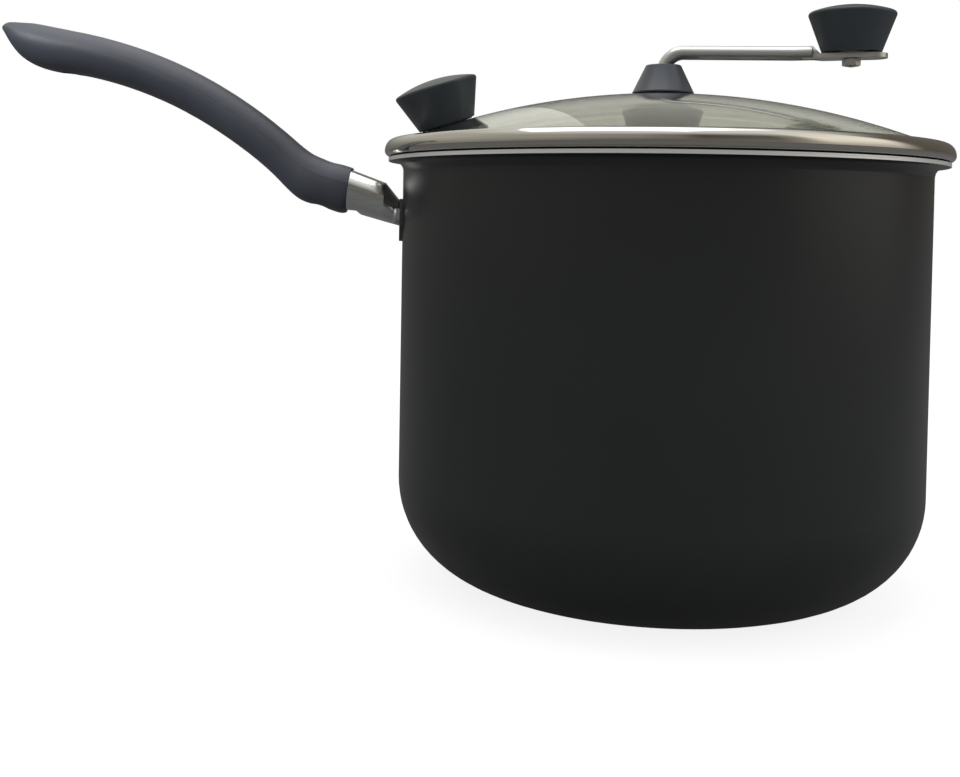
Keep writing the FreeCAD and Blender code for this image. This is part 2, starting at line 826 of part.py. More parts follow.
def make_bracket_rivets():
    # Two rivets side by side, headed outside the plate and inside the pot.
    rivets = []
    for side in (-1, 1):
        inside = math.sqrt(inner_radius ** 2 - rivet_head_radius ** 2) - rivet_seat_gap
        outside = plate_radius() + rivet_seat_gap
        shank_length = outside - inside
        shank = Part.makeCylinder(rivet_shank_radius, shank_length, vec(inside, 0, rivet_z), vec(1, 0, 0))
        outer = domed_head(vec(outside, 0, rivet_z), 1)
        inner = domed_head(vec(inside, 0, rivet_z), -1)
        rivet = shank.fuse(outer).fuse(inner).removeSplitter()
        rivets.append(rivet.rotate(ORIGIN, UP, rivet_angle(side)))
    return Part.makeCompound(rivets)


def domed_head(base, way):
    # A round head whose edge is rolled over, set along +X or -X.
    height = rivet_head_height if way > 0 else rivet_head_height * rivet_inner_share
    head = Part.makeCylinder(rivet_head_radius, height, base, vec(way, 0, 0))
    tip = base.x + way * height
    edge = []
    for e in head.Edges:
        if max(abs(e.BoundBox.XMin - tip), abs(e.BoundBox.XMax - tip)) < same_place:
            edge.append(e)
    return head.makeFillet(height * head_round_share, edge)


def bevelled_section(base, up, above, below, width):
    # One closed section: a crowned top, a bevel and a side on each hand, and a rounded foot.
    height = above + below
    crown = above - crown_drop * height
    bevel = above - bevel_drop * height
    foot = -below + foot_lift * height
    bevel_middle = (crown + bevel) / 2 + bevel_bulge * height
    waist = (bevel + foot) / 2

    def at(across, v):
        return vec(base[0] + up[0] * v, across * width, base[1] + up[1] * v)

    edges = [Part.Arc(at(-top_half, crown), at(0, above), at(top_half, crown)).toShape()]
    right = [
        (at(top_half, crown), at(bevel_half, bevel_middle), at(side_half, bevel)),
        (at(side_half, bevel), at(waist_half, waist), at(foot_half, foot)),
    ]
    left = [
        (at(-foot_half, foot), at(-waist_half, waist), at(-side_half, bevel)),
        (at(-side_half, bevel), at(-bevel_half, bevel_middle), at(-top_half, crown)),
    ]
    sole = [(at(foot_half, foot), at(0, -below), at(-foot_half, foot))]
    for first, middle, last in right + sole + left:
        edges.append(Part.Arc(first, middle, last).toShape())
    return Part.Wire(edges)


def spine(distance):
    # Point and slope of the grip's spine: a short lead, an arc upwards, an arc back, then straight.
    x = wall_x + grip_start_gap
    z = rivet_z + grip_start_rise
    slope = math.radians(grip_start_angle)
    lead = min(distance, grip_lead)
    x = x + lead * math.cos(slope)
    z = z + lead * math.sin(slope)
    left = distance - lead
    for radius, turn in ((grip_hook_radius, grip_hook_turn), (grip_back_radius, -grip_back_turn)):
        length = radius * math.radians(abs(turn))
        used = min(left, length)
        way = 1 if turn > 0 else -1
        end = slope + way * used / radius
        x = x + way * radius * (math.sin(end) - math.sin(slope))
        z = z + way * radius * (math.cos(slope) - math.cos(end))
        slope = end
        left = left - used
    return x + left * math.cos(slope), z + left * math.sin(slope), slope


def grip_size(distance):
    # Height, depth and width of the grip at a distance: smooth curves through the key sections.
    keys = grip_keys
    k = 0
    while k < len(keys) - 2 and distance > keys[k + 1][0]:
        k += 1
    before = keys[max(k - 1, 0)]
    here = keys[k]
    there = keys[k + 1]
    after = keys[min(k + 2, len(keys) - 1)]
    span = there[0] - here[0]
    t = (distance - here[0]) / span
    size = []
    for i in (1, 2, 3):
        slope_here = (there[i] - before[i]) / (there[0] - before[0]) * span
        slope_there = (after[i] - here[i]) / (after[0] - here[0]) * span
        rest = 3 * (there[i] - here[i]) - 2 * slope_here - slope_there
        bend = slope_here + slope_there - 2 * (there[i] - here[i])
        size.append(here[i] + slope_here * t + rest * t ** 2 + bend * t ** 3)
    return size


def grip_stations():
    # Even steps between the key sections, so that the loft has nowhere to wander.
    stations = [grip_keys[0][0]]
    for first, second in zip(grip_keys, grip_keys[1:]):
        steps = max(1, round((second[0] - first[0]) / grip_station_step))
        for k in range(steps):
            stations.append(first[0] + (second[0] - first[0]) * (k + 1) / steps)
    return stations


def make_handle_grip():
    wires = []
    for distance in grip_stations():
        above, below, width = grip_size(distance)
        x, z, slope = spine(distance)
        wires.append(bevelled_section((x, z), (-math.sin(slope), math.cos(slope)), above, below, width))
    grip = Part.makeLoft(wires, True, False)
    grip = grip.mirror(ORIGIN, vec(1, 0, 0))
    grip = grip.cut(tongue_solid(tongue_clearance, tongue_end_gap))
    head_seat = -tongue_thickness / 2 - screw_seat_depth
    bore = Part.makeCylinder(stud_radius + screw_bore_clearance, 12, vec(0, 0, head_seat - 1))
    pocket = Part.makeCylinder(screw_head_radius + screw_pocket_clearance, 20, vec(0, 0, head_seat - 20))
    grip = grip.cut(on_screw(bore.fuse(pocket)))
    return grip.cut(hang_hole())


def hang_hole():
    total = grip_keys[-1][0]
    x, z, slope = spine(total - hang_hole_setback)
    hole = Part.makeCylinder(hang_hole_radius, 60, vec(0, 0, -30))
    hole = hole.rotate(ORIGIN, vec(0, 1, 0), -math.degrees(slope))
    hole = hole.translate(vec(x, 0, z))
    return hole.mirror(ORIGIN, vec(1, 0, 0))


def make_handle_screw():
    head_seat = -tongue_thickness / 2 - screw_seat_depth - screw_seat_gap
    return on_screw(pan_screw(head_seat, tongue_thickness / 2 + screw_past_tongue, stud_radius))


def ferrule_wires(inset):
    wires = []
    for (top_x, top_z), (foot_x, foot_z), room in ferrule_sections:
        wires.append(ferrule_section(top_x, top_z, foot_x, foot_z, tongue_width + room, inset))
    # The last section lies on the grip's end face, a little smaller than the grip.
    _, above, below, _ = grip_keys[0]
    x, z, slope = spine(-ferrule_butt_gap)
    above = above - ferrule_end_inset
    below = below - ferrule_end_inset
    up = (-math.sin(slope), math.cos(slope))
    width = tongue_width + ferrule_end_room - 2 * inset
    wires.append(bevelled_section((x, z), up, above - inset, below - inset, width))
    return wires


def ferrule_section(top_x, top_z, foot_x, foot_z, width, inset):
    dx = top_x - foot_x
    dz = top_z - foot_z
    half = math.hypot(dx, dz) / 2
    up = (dx / (2 * half), dz / (2 * half))
    base = (wall_x + (top_x + foot_x) / 2, rivet_z + (top_z + foot_z) / 2)
    return bevelled_section(base, up, half - inset, half - inset, width - 2 * inset)


def make_handle_ferrule():
    outer = Part.makeLoft(ferrule_wires(0.0), True, True)
    inner = Part.makeLoft(ferrule_wires(ferrule_sheet), True, True)
    shell = outer.cut(inner)
    # The foot is nicked where the sheet was folded shut, next to the grip.
    corners = [vec(wall_x + away, 0, rivet_z + high) for away, high in ferrule_notch]
    nick = Part.Face(Part.makePolygon(corners + corners[:1]))
    width = 2 * (tongue_width + ferrule_end_room)
    nick = nick.extrude(vec(0, width, 0)).translate(vec(0, -width / 2, 0))
    return shell.cut(nick).mirror(ORIGIN, vec(1, 0, 0))


def main():
    nodes = {
        "pot_body": make_pot_body(),
        "bracket_plate": make_bracket_plate(),
        "bracket_rivets": make_bracket_rivets(),
        "handle_ferrule": make_handle_ferrule(),
        "handle_grip": make_handle_grip(),
        "handle_screw": make_handle_screw(),
        "lid_band": make_lid_band(),
        "lid_glass": make_lid_glass(),
        "hub_cone": make_hub_cone(),
        "hub_gasket_upper": make_hub_gasket_upper(),
        "hub_gasket_lower": make_hub_gasket_lower(),
        "hub_washer": make_hub_washer(),
        "hub_nut": make_hub_nut(),
        "side_knob": make_side_knob(),
        "side_knob_gasket": make_side_knob_gasket(),
        "side_knob_washer": make_side_knob_washer(),
        "side_knob_screw": make_side_knob_screw(),
        "crank_rod": make_crank_rod(),
        "thrust_washer": make_thrust_washer(),
        "retaining_clip": make_retaining_clip(),
        "crank_knob": make_crank_knob(),
        "crank_knob_stud": make_crank_knob_stud(),
        "crank_knob_washer": make_crank_knob_washer(),
        "crank_knob_nut": make_crank_knob_nut(),
        "stirrer_hub": make_stirrer_hub(),
        "stirrer_arms": make_stirrer_arms(),
        "stirrer_screw": make_stirrer_screw(),
    }
    os.makedirs("parts", exist_ok=True)
    for name, shape in nodes.items():
        print(name, shape.isValid(), len(shape.Solids), round(shape.Volume, 1))
        shape.exportStep("parts/" + name + ".step")


main()
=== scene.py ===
import math

import bmesh
import bpy
import numpy as np
from mathutils import Matrix, Vector


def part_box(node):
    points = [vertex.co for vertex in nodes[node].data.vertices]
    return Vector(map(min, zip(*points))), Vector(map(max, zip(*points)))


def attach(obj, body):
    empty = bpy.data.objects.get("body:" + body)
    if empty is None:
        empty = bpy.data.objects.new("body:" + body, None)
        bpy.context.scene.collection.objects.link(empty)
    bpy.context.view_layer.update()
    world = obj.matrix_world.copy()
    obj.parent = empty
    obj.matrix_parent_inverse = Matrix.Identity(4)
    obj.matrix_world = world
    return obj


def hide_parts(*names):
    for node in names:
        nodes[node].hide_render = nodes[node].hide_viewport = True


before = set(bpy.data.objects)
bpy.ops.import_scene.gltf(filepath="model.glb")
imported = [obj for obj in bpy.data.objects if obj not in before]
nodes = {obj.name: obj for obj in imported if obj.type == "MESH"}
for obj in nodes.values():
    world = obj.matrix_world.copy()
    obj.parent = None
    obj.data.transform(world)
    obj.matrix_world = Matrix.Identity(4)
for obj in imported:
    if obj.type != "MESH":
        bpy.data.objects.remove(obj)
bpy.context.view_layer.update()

print("stage: frame loaded")


# Shader helpers
def newMaterial(name):
    material = bpy.data.materials.new(name)
    material.use_nodes = True
    tree = material.node_tree
    shader = tree.nodes["Principled BSDF"]
    return material, tree, shader


def feed(tree, socket, value):
    # A socket is linked, and anything else becomes the input's own value.
    if isinstance(value, bpy.types.NodeSocket):
        tree.links.new(value, socket)
    else:
        socket.default_value = value


def addNode(tree, kind, **inputs):
    node = tree.nodes.new(kind)
    for key, value in inputs.items():
        feed(tree, node.inputs[key], value)
    return node


def setShader(shader, **values):
    for key, value in values.items():
        shader.inputs[key.replace("_", " ")].default_value = value


def mixColour(tree, factor, first, second):
    node = tree.nodes.new("ShaderNodeMix")
    node.data_type = "RGBA"
    feed(tree, node.inputs[0], factor)
    feed(tree, node.inputs[6], first)
    feed(tree, node.inputs[7], second)
    return node.outputs[2]


def mixNumber(tree, factor, first, second):
    node = tree.nodes.new("ShaderNodeMix")
    feed(tree, node.inputs[0], factor)
    feed(tree, node.inputs[2], first)
    feed(tree, node.inputs[3], second)
    return node.outputs[0]


def remap(tree, value, low, high, toLow=0.0, toHigh=1.0, smooth=False):
    node = tree.nodes.new("ShaderNodeMapRange")
    node.interpolation_type = "SMOOTHSTEP" if smooth else "LINEAR"
    tree.links.new(value, node.inputs["Value"])
    for key, number in (("From Min", low), ("From Max", high), ("To Min", toLow), ("To Max", toHigh)):
        node.inputs[key].default_value = number
    return node.outputs["Result"]


def calc(tree, operation, first, second=0.0):
    node = tree.nodes.new("ShaderNodeMath")
    node.operation = operation
    feed(tree, node.inputs[0], first)
    feed(tree, node.inputs[1], second)
    return node.outputs[0]


def objectPlace(tree):
    return tree.nodes.new("ShaderNodeTexCoord").outputs["Object"]


def bump(tree, height, strength, distance, normal=None):
    node = tree.nodes.new("ShaderNodeBump")
    node.inputs["Strength"].default_value = strength
    node.inputs["Distance"].default_value = distance
    tree.links.new(height, node.inputs["Height"])
    if normal is not None:
        tree.links.new(normal, node.inputs["Normal"])
    return node.outputs["Normal"]


# Shared effects
def makeGroup(name, inputs, outputs):
    group = bpy.data.node_groups.new(name, "ShaderNodeTree")
    for socketName, kind, value in inputs:
        socket = group.interface.new_socket(socketName, in_out="INPUT", socket_type=kind)
        if value is not None:
            socket.default_value = value
    for socketName, kind in outputs:
        group.interface.new_socket(socketName, in_out="OUTPUT", socket_type=kind)
    return group, group.nodes.new("NodeGroupInput"), group.nodes.new("NodeGroupOutput")


def placeGroup(tree, group, **values):
    node = tree.nodes.new("ShaderNodeGroup")
    node.node_tree = group
    for key, value in values.items():
        feed(tree, node.inputs[key], value)
    return node


def noise(tree, place, scale, detail):
    return addNode(tree, "ShaderNodeTexNoise", Vector=place, Scale=scale, Detail=detail).outputs["Fac"]


def makeGrainGroup():
    # Grain: fine noise and a coarse cloud. Height is for bump, Cloud is a slow change of tone.
    group, start, end = makeGroup(
        "grain",
        [("Vector", "NodeSocketVector", None), ("Fine", "NodeSocketFloat", 900.0),
         ("Coarse", "NodeSocketFloat", 18.0)],
        [("Height", "NodeSocketFloat"), ("Cloud", "NodeSocketFloat")],
    )
    place = start.outputs["Vector"]
    group.links.new(noise(group, place, start.outputs["Fine"], detail=3.0), end.inputs["Height"])
    group.links.new(noise(group, place, start.outputs["Coarse"], detail=4.0), end.inputs["Cloud"])
    return group


def makeSpeckGroup():
    # Specks: the middles of some cells, as pale dots of dust or metal flake.
    group, start, end = makeGroup(
        "specks",
        [("Vector", "NodeSocketVector", None), ("Scale", "NodeSocketFloat", 400.0),
         ("Size", "NodeSocketFloat", 0.12), ("Share", "NodeSocketFloat", 0.9)],
        [("Mask", "NodeSocketFloat")],
    )
    place = start.outputs["Vector"]
    cells = addNode(group, "ShaderNodeTexVoronoi", Vector=place, Scale=start.outputs["Scale"])
    near = calc(group, "LESS_THAN", cells.outputs["Distance"], start.outputs["Size"])
    split = addNode(group, "ShaderNodeSeparateColor", Color=cells.outputs["Color"])
    chosen = calc(group, "GREATER_THAN", split.outputs[0], start.outputs["Share"])
    group.links.new(calc(group, "MULTIPLY", near, chosen), end.inputs["Mask"])
    return group


def makeTurnedGroup():
    # Turned metal: hairlines that run round an upright axis, noise read from radius and height.
    group, start, end = makeGroup(
        "turned",
        [("Vector", "NodeSocketVector", None), ("Scale", "NodeSocketFloat", 1500.0)],
        [("Lines", "NodeSocketFloat"), ("Radius", "NodeSocketFloat"), ("Height", "NodeSocketFloat")],
    )
    split = addNode(group, "ShaderNodeSeparateXYZ", Vector=start.outputs["Vector"])
    square = calc(group, "ADD", calc(group, "MULTIPLY", split.outputs[0], split.outputs[0]),
                  calc(group, "MULTIPLY", split.outputs[1], split.outputs[1]))
    radius = calc(group, "SQRT", square)
    joined = addNode(group, "ShaderNodeCombineXYZ", X=radius, Y=split.outputs[2])
    lines = noise(group, joined.outputs[0], start.outputs["Scale"], detail=2.0)
    group.links.new(lines, end.inputs["Lines"])
    group.links.new(radius, end.inputs["Radius"])
    group.links.new(split.outputs[2], end.inputs["Height"])
    return group


def makeBrushedGroup():
    # Brushed metal: noise that is stretched along one level direction, turned by an angle about Z.
    group, start, end = makeGroup(
        "brushed",
        [("Vector", "NodeSocketVector", None), ("Turn", "NodeSocketFloat", 0.0),
         ("Along", "NodeSocketFloat", 25.0), ("Across", "NodeSocketFloat", 1200.0)],
        [("Lines", "NodeSocketFloat")],
    )
    turn = group.nodes.new("ShaderNodeVectorRotate")
    turn.rotation_type = "Z_AXIS"
    feed(group, turn.inputs["Vector"], start.outputs["Vector"])
    feed(group, turn.inputs["Angle"], start.outputs["Turn"])
    split = addNode(group, "ShaderNodeSeparateXYZ", Vector=turn.outputs[0])
    along = calc(group, "MULTIPLY", split.outputs[0], start.outputs["Along"])
    sideways = calc(group, "MULTIPLY", split.outputs[1], start.outputs["Across"])
    upwards = calc(group, "MULTIPLY", split.outputs[2], start.outputs["Across"])
    joined = addNode(group, "ShaderNodeCombineXYZ", X=along, Y=sideways, Z=upwards)
    group.links.new(noise(group, joined.outputs[0], scale=1.0, detail=2.0), end.inputs["Lines"])
    return group


grainGroup = makeGrainGroup()
speckGroup = makeSpeckGroup()
turnedGroup = makeTurnedGroup()
brushedGroup = makeBrushedGroup()
print("stage: shared effects built")

# Finishes
cloudSpan = (0.3, 0.7)  # the noise's usual lowest and highest value


def cloudRemap(tree, grain, toLow=0.0, toHigh=1.0):
    return remap(tree, grain.outputs["Cloud"], *cloudSpan, toLow, toHigh)


def cloudTone(tree, grain, look):
    return mixColour(tree, cloudRemap(tree, grain), look["dark"], look["light"])


potLook = {
    "coat": (0.0170, 0.0186, 0.0195, 1),
    "coatCloud": (0.0200, 0.0217, 0.0226, 1),
    "speck": (0.05, 0.052, 0.055, 1),
    "roughness": (0.287, 0.335),
    "cloudSpan": (0.35, 0.7),
    "bareRadius": 0.1262,
    "lipBlend": 0.0001,
    "bareBase": 0.0006,
    "baseBlend": 0.0002,
    "bare": (0.88, 0.88, 0.86, 1),
    # bare metal kept only partly metallic: its pale colour lights up as a painted highlight on the lip
    "bareMetallicWithPaintedHighlight": 0.42,
    "bareRoughness": 0.30,
}


def potCoating():
    material, tree, shader = newMaterial("potCoating")
    place = objectPlace(tree)
    grain = placeGroup(tree, grainGroup, Vector=place, Fine=1400.0, Coarse=14.0)
    specks = placeGroup(tree, speckGroup, Vector=place, Scale=620.0, Size=0.09, Share=0.95)
    turned = placeGroup(tree, turnedGroup, Vector=place, Scale=1100.0)
    cloud = remap(tree, grain.outputs["Cloud"], *potLook["cloudSpan"])
    tone = mixColour(tree, cloud, potLook["coat"], potLook["coatCloud"])
    tone = mixColour(tree, specks.outputs["Mask"], tone, potLook["speck"])
    # Bare metal shows at the lip's cut edge, further out than the coat reaches, and on the base. It is only
    # partly metallic, so its pale colour also shows in diffuse light as a painted highlight along the lip's
    # edge.
    edge, blend = potLook["bareRadius"], potLook["lipBlend"]
    base = potLook["bareBase"]
    bareLipAndHighlight = remap(tree, turned.outputs["Radius"], edge - blend, edge + blend)
    bareFoot = remap(tree, turned.outputs["Height"], base - potLook["baseBlend"], base, 1.0, 0.0)
    bare = calc(tree, "MAXIMUM", bareLipAndHighlight, bareFoot)
    tree.links.new(mixColour(tree, bare, tone, potLook["bare"]), shader.inputs["Base Color"])
    tree.links.new(calc(tree, "MULTIPLY", bare, potLook["bareMetallicWithPaintedHighlight"]), shader.inputs["Metallic"])
    rough = cloudRemap(tree, grain, *potLook["roughness"])
    tree.links.new(mixNumber(tree, bare, rough, potLook["bareRoughness"]), shader.inputs["Roughness"])
    turnedMarks = calc(tree, "MULTIPLY", turned.outputs["Lines"], bare)
    fine = bump(tree, grain.outputs["Height"], strength=0.06, distance=0.0003)
    marked = bump(tree, turnedMarks, strength=0.25, distance=0.0003, normal=fine)
    tree.links.new(marked, shader.inputs["Normal"])
    return material


plasticLook = {
    "handleGrip": {"dark": (0.030, 0.034, 0.046, 1), "light": (0.040, 0.044, 0.059, 1),
                   "roughness": (0.38, 0.48)},
    "knob": {"dark": (0.036, 0.044, 0.051, 1), "light": (0.044, 0.053, 0.061, 1), "roughness": (0.36, 0.46)},
    "hub": {"dark": (0.055, 0.063, 0.078, 1), "light": (0.070, 0.079, 0.097, 1), "roughness": (0.32, 0.42)},
    "speck": (0.10, 0.105, 0.115, 1),
}


def mouldedPlastic(name):
    look = plasticLook[name]
    material, tree, shader = newMaterial(name + "Plastic")
    place = objectPlace(tree)
    grain = placeGroup(tree, grainGroup, Vector=place, Fine=2600.0, Coarse=40.0)
    specks = placeGroup(tree, speckGroup, Vector=place, Scale=900.0, Size=0.10, Share=0.985)
    tone = mixColour(tree, specks.outputs["Mask"], cloudTone(tree, grain, look), plasticLook["speck"])
    tree.links.new(tone, shader.inputs["Base Color"])
    tree.links.new(cloudRemap(tree, grain, *look["roughness"]), shader.inputs["Roughness"])
    grained = bump(tree, grain.outputs["Height"], strength=0.10, distance=0.0003)
    tree.links.new(grained, shader.inputs["Normal"])
    return material


# Pieces with a turn in degrees are brushed along that level direction, and the turned ones have
# hairlines round Z.
metalLook = {
    "band": {"dark": (0.56, 0.54, 0.50, 1), "light": (0.66, 0.64, 0.60, 1), "roughness": (0.035, 0.095)},
    "fastener": {"dark": (0.52, 0.52, 0.52, 1), "light": (0.64, 0.64, 0.64, 1), "roughness": (0.19, 0.25)},
    "ferrule": {"dark": (0.62, 0.64, 0.62, 1), "light": (0.72, 0.74, 0.72, 1), "roughness": (0.15, 0.21),
                "turn": 0.0},
    "rivet": {"dark": (0.55, 0.55, 0.56, 1), "light": (0.68, 0.68, 0.69, 1), "roughness": (0.30, 0.36),
              "turn": 0.0},
    "rod": {"dark": (0.66, 0.66, 0.66, 1), "light": (0.76, 0.76, 0.76, 1), "roughness": (0.28, 0.34),
            "turn": 19.0},
    "stirrer": {"dark": (0.50, 0.50, 0.50, 1), "light": (0.60, 0.60, 0.60, 1), "roughness": (0.19, 0.25),
                "turn": 19.0},
}


def brightMetal(name):
    look = metalLook[name]
    material, tree, shader = newMaterial(name + "Metal")
    place = objectPlace(tree)
    grain = placeGroup(tree, grainGroup, Vector=place, Fine=3000.0, Coarse=60.0)
    if "turn" in look:
        turn = math.radians(look["turn"])
        marks = placeGroup(tree, brushedGroup, Vector=place, Turn=turn, Along=30.0, Across=1400.0)
    else:
        marks = placeGroup(tree, turnedGroup, Vector=place, Scale=1600.0)
    lines = marks.outputs["Lines"]
    tone = mixColour(tree, remap(tree, lines, *cloudSpan), look["dark"], look["light"])
    tree.links.new(tone, shader.inputs["Base Color"])
    setShader(shader, Metallic=1.0)
    tree.links.new(cloudRemap(tree, grain, *look["roughness"]), shader.inputs["Roughness"])
    tree.links.new(bump(tree, lines, strength=0.015, distance=0.0001), shader.inputs["Normal"])
    return material


bracketLook = {"dark": (0.03, 0.032, 0.035, 1), "light": (0.055, 0.057, 0.06, 1), "roughness": (0.3, 0.42)}


def bracketCoat():
    material, tree, shader = newMaterial("bracketCoat")
    grain = placeGroup(tree, grainGroup, Vector=objectPlace(tree), Fine=1800.0, Coarse=90.0)
    tree.links.new(cloudTone(tree, grain, bracketLook), shader.inputs["Base Color"])
    tree.links.new(cloudRemap(tree, grain, *bracketLook["roughness"]), shader.inputs["Roughness"])
    grained = bump(tree, grain.outputs["Height"], strength=0.15, distance=0.0003)
    tree.links.new(grained, shader.inputs["Normal"])
    return material


rubberLook = {"dark": (0.025, 0.025, 0.027, 1), "light": (0.045, 0.045, 0.047, 1), "roughness": 0.7}


def gasketRubber():
    material, tree, shader = newMaterial("gasketRubber")
    grain = placeGroup(tree, grainGroup, Vector=objectPlace(tree), Fine=2200.0, Coarse=120.0)
    tree.links.new(cloudTone(tree, grain, rubberLook), shader.inputs["Base Color"])
    setShader(shader, Roughness=rubberLook["roughness"])
    return material


glassLook = {"clear": (0.765, 0.777, 0.685, 1), "dusty": (0.735, 0.745, 0.65, 1), "roughness": 0.015,
             "bend": 1.5}


def lidGlass():
    # Clear glass that a film of dust darkens a little in clouds.
    material, tree, shader = newMaterial("lidGlass")
    grain = placeGroup(tree, grainGroup, Vector=objectPlace(tree), Fine=500.0, Coarse=9.0)
    tone = mixColour(tree, cloudRemap(tree, grain), glassLook["clear"], glassLook["dusty"])
    tree.links.new(tone, shader.inputs["Base Color"])
    setShader(shader, Roughness=glassLook["roughness"], IOR=glassLook["bend"], Transmission_Weight=1.0)
    return material


finishes = {
    "pot_body": potCoating(),
    "bracket_plate": bracketCoat(),
    "bracket_rivets": brightMetal("rivet"),
    "handle_ferrule": brightMetal("ferrule"),
    "handle_grip": mouldedPlastic("handleGrip"),
    "crank_rod": brightMetal("rod"),
    "stirrer_arms": brightMetal("stirrer"),
}
domeGlass = lidGlass()
bandSteel = brightMetal("band")
hubPlastic = mouldedPlastic("hub")
knobPlastic = mouldedPlastic("knob")
fastenerMetal = brightMetal("fastener")
rubber = gasketRubber()
finishes["stirrer_hub"] = finishes["stirrer_arms"]
for name in ("crank_knob", "side_knob"):
    finishes[name] = knobPlastic
for name in ("hub_gasket_upper", "hub_gasket_lower", "side_knob_gasket"):
    finishes[name] = rubber
for name in nodes:
    finish = finishes.get(name, fastenerMetal)
    for materialSlot in nodes[name].material_slots:
        materialSlot.material = finish
print("stage: finishes placed on", len(nodes), "nodes")

# Surfaces turned round an axis
doubleReach = 2e-6
sharpAngle = 38.0


def ellipseQuarter(centre, halves, fromAngle, toAngle, steps=14):
    # Centre plus the half widths times the cosine and the sine of an angle that runs evenly.
    angle = np.radians(np.linspace(fromAngle, toAngle, steps))
    return np.stack([centre[0] + halves[0] * np.cos(angle), centre[1] + halves[1] * np.sin(angle)], axis=-1)


def inwardCopy(path, thickness):
    # The same line moved to its right: each point steps square to the mean of its two runs.
    runs = np.diff(path, axis=0)
    runs = runs / np.linalg.norm(runs, axis=1, keepdims=True)
    ahead = np.vstack([runs[:1], runs[:-1] + runs[1:], runs[-1:]])
    ahead = ahead / np.linalg.norm(ahead, axis=1, keepdims=True)
    return path + thickness * np.stack([ahead[:, 1], -ahead[:, 0]], axis=-1)


def roundEnd(first, second, steps=6):
    # Half a circle from one end of a sheet's face to the other, bulging to the left of the way.
    middle = (first + second) / 2
    arm = first - middle
    angle = np.linspace(0, np.pi, steps)[1:-1, None]
    return middle + arm * np.cos(angle) + np.array([arm[1], -arm[0]]) * np.sin(angle)


def makePiece(name, places, faces, material, body, replaced, sharp=sharpAngle):
    # A mesh with its doubles merged and its faces outwards, which stands for one CAD node.
    mesh = bpy.data.meshes.new(name)
    mesh.from_pydata(places.tolist(), [], faces.tolist())
    shape = bmesh.new()
    shape.from_mesh(mesh)
    bmesh.ops.remove_doubles(shape, verts=shape.verts, dist=doubleReach)
    bare = [edge for edge in shape.edges if not edge.link_faces]
    bmesh.ops.delete(shape, geom=bare, context="EDGES")
    bmesh.ops.recalc_face_normals(shape, faces=shape.faces)
    shape.to_mesh(mesh)
    shape.free()
    mesh.polygons.foreach_set("use_smooth", np.ones(len(mesh.polygons), bool))
    mesh.set_sharp_from_angle(angle=math.radians(sharp))
    mesh.materials.append(material)
    piece = bpy.data.objects.new(name, mesh)
    bpy.context.scene.collection.objects.link(piece)
    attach(piece, body)
    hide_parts(replaced)
    return piece


def latheGrid(profile, segments, radiusAt=None):
    # A closed profile of radius and height turned round Z. Column i stands at i turns of 360
    # degrees over the number of segments. radiusAt may change the radius by angle and row.
    angle = np.linspace(0, 2 * np.pi, segments, endpoint=False)
    radius = np.repeat(profile[None, :, 0], segments, axis=0)
    height = np.repeat(profile[None, :, 1], segments, axis=0)
    if radiusAt is not None:
        radius = radiusAt(angle[:, None], radius, height)
    places = np.stack([radius * np.cos(angle)[:, None], radius * np.sin(angle)[:, None], height], axis=-1)
    rows = profile.shape[0]
    column, row = np.meshgrid(np.arange(segments), np.arange(rows), indexing="ij")
    nextColumn = (column + 1) % segments
    nextRow = (row + 1) % rows
    faces = np.stack([column * rows + row, nextColumn * rows + row, nextColumn * rows + nextRow,
                      column * rows + nextRow], axis=-1)
    return places.reshape(-1, 3), faces.reshape(-1, 4)


bandLook = {
    "sheet": 0.0006,
    "shoulder": (0.0046, 0.0054),  # level and upright half widths of the oval's upper part
    "foot": (0.0026, 0.0026),
    "footLift": 0.0004,
    "footFlat": 0.0042,
    "skirtInset": 0.0112,
    "skirtBend": 0.0015,
    "hemReach": 0.0088,
    "segments": 288,
}


def makeLidBand():
    # The band's sheet starts at the hem on the glass, rolls over the rim in two quarter ellipses,
    # drops onto the pot's lip a little further in, and turns down inside the pot. Its inner face
    # is the same line one sheet further in.
    low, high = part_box("lid_band")
    outer, top = high.x, high.z
    seat = top - bandLook["shoulder"][1] - bandLook["foot"][1] - bandLook["footLift"]
    sx, sz = bandLook["shoulder"]
    fx, fz = bandLook["foot"]
    bend = bandLook["skirtBend"]
    skirt = outer - bandLook["skirtInset"]
    line = [
        np.array([[outer - bandLook["hemReach"], top]]),
        ellipseQuarter((outer - sx, top - sz), (sx, sz), 90, 0),
        ellipseQuarter((outer - fx, seat + bandLook["footLift"] + fz), (fx, fz), 0, -90)[1:],
        np.array([[outer - bandLook["footFlat"], seat]]),
        ellipseQuarter((skirt + bend, seat - bend), (bend, bend), 90, 180, 8),
        np.array([[skirt, low.z + bandLook["sheet"] / 2]]),
    ]
    face = np.vstack(line)
    inner = inwardCopy(face, bandLook["sheet"])
    lowEnd = roundEnd(face[-1], inner[-1])
    hemEnd = roundEnd(inner[0], face[0])
    profile = np.vstack([face, lowEnd, inner[::-1], hemEnd])
    places, faces = latheGrid(profile, bandLook["segments"])
    return makePiece("lidBand", places, faces, bandSteel, "lid", "lid_band")


hubLook = {
    "topRadius": 0.0083,
    "rimRound": 0.0006,
    "baseStep": 0.0008,
    "mouthRadius": 0.0060,
    "mouthDepth": 0.0056,
    "boreRadius": 0.00328,
    "spigotRadius": 0.0060,
    "threadPitch": 0.0015,
    "threadDepth": 0.00055,
    "threadRows": 130,
    "threadFromBase": 0.0012,
    "threadFromFoot": 0.0006,
    "footChamfer": 0.0006,
    "baseEdge": 0.0002,
    "segments": 96,
}


